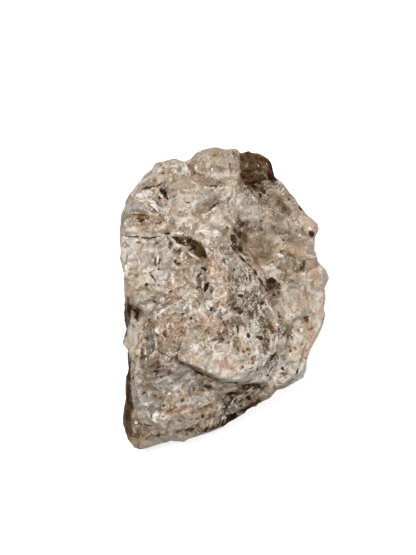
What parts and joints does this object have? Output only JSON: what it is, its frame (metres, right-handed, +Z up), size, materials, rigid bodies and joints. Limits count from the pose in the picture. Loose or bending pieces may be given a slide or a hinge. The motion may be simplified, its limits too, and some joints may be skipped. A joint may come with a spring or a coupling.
{
  "type": "rough crystalline mineral specimen",
  "caption": "Palm-sized broken chunk of coarse pinkish-cream crystalline rock, lying on its flattest cleavage face, for display, teaching or set dressing.",
  "frame": {"origin": "centre of the stone's box seen from above, at the level of the face it lies on", "axes": "+Z up from the resting face, +Y along the stone towards its thick dark-spotted end, +X across towards the low shelf"},
  "size_m": [0.0526, 0.0764, 0.0313],
  "materials": {
    "stone": "rough broken crystalline surface with glassy cleavage faces"
  },
  "bodies": {
    "root": {"stone": "stone"}
  },
  "joints": []
}
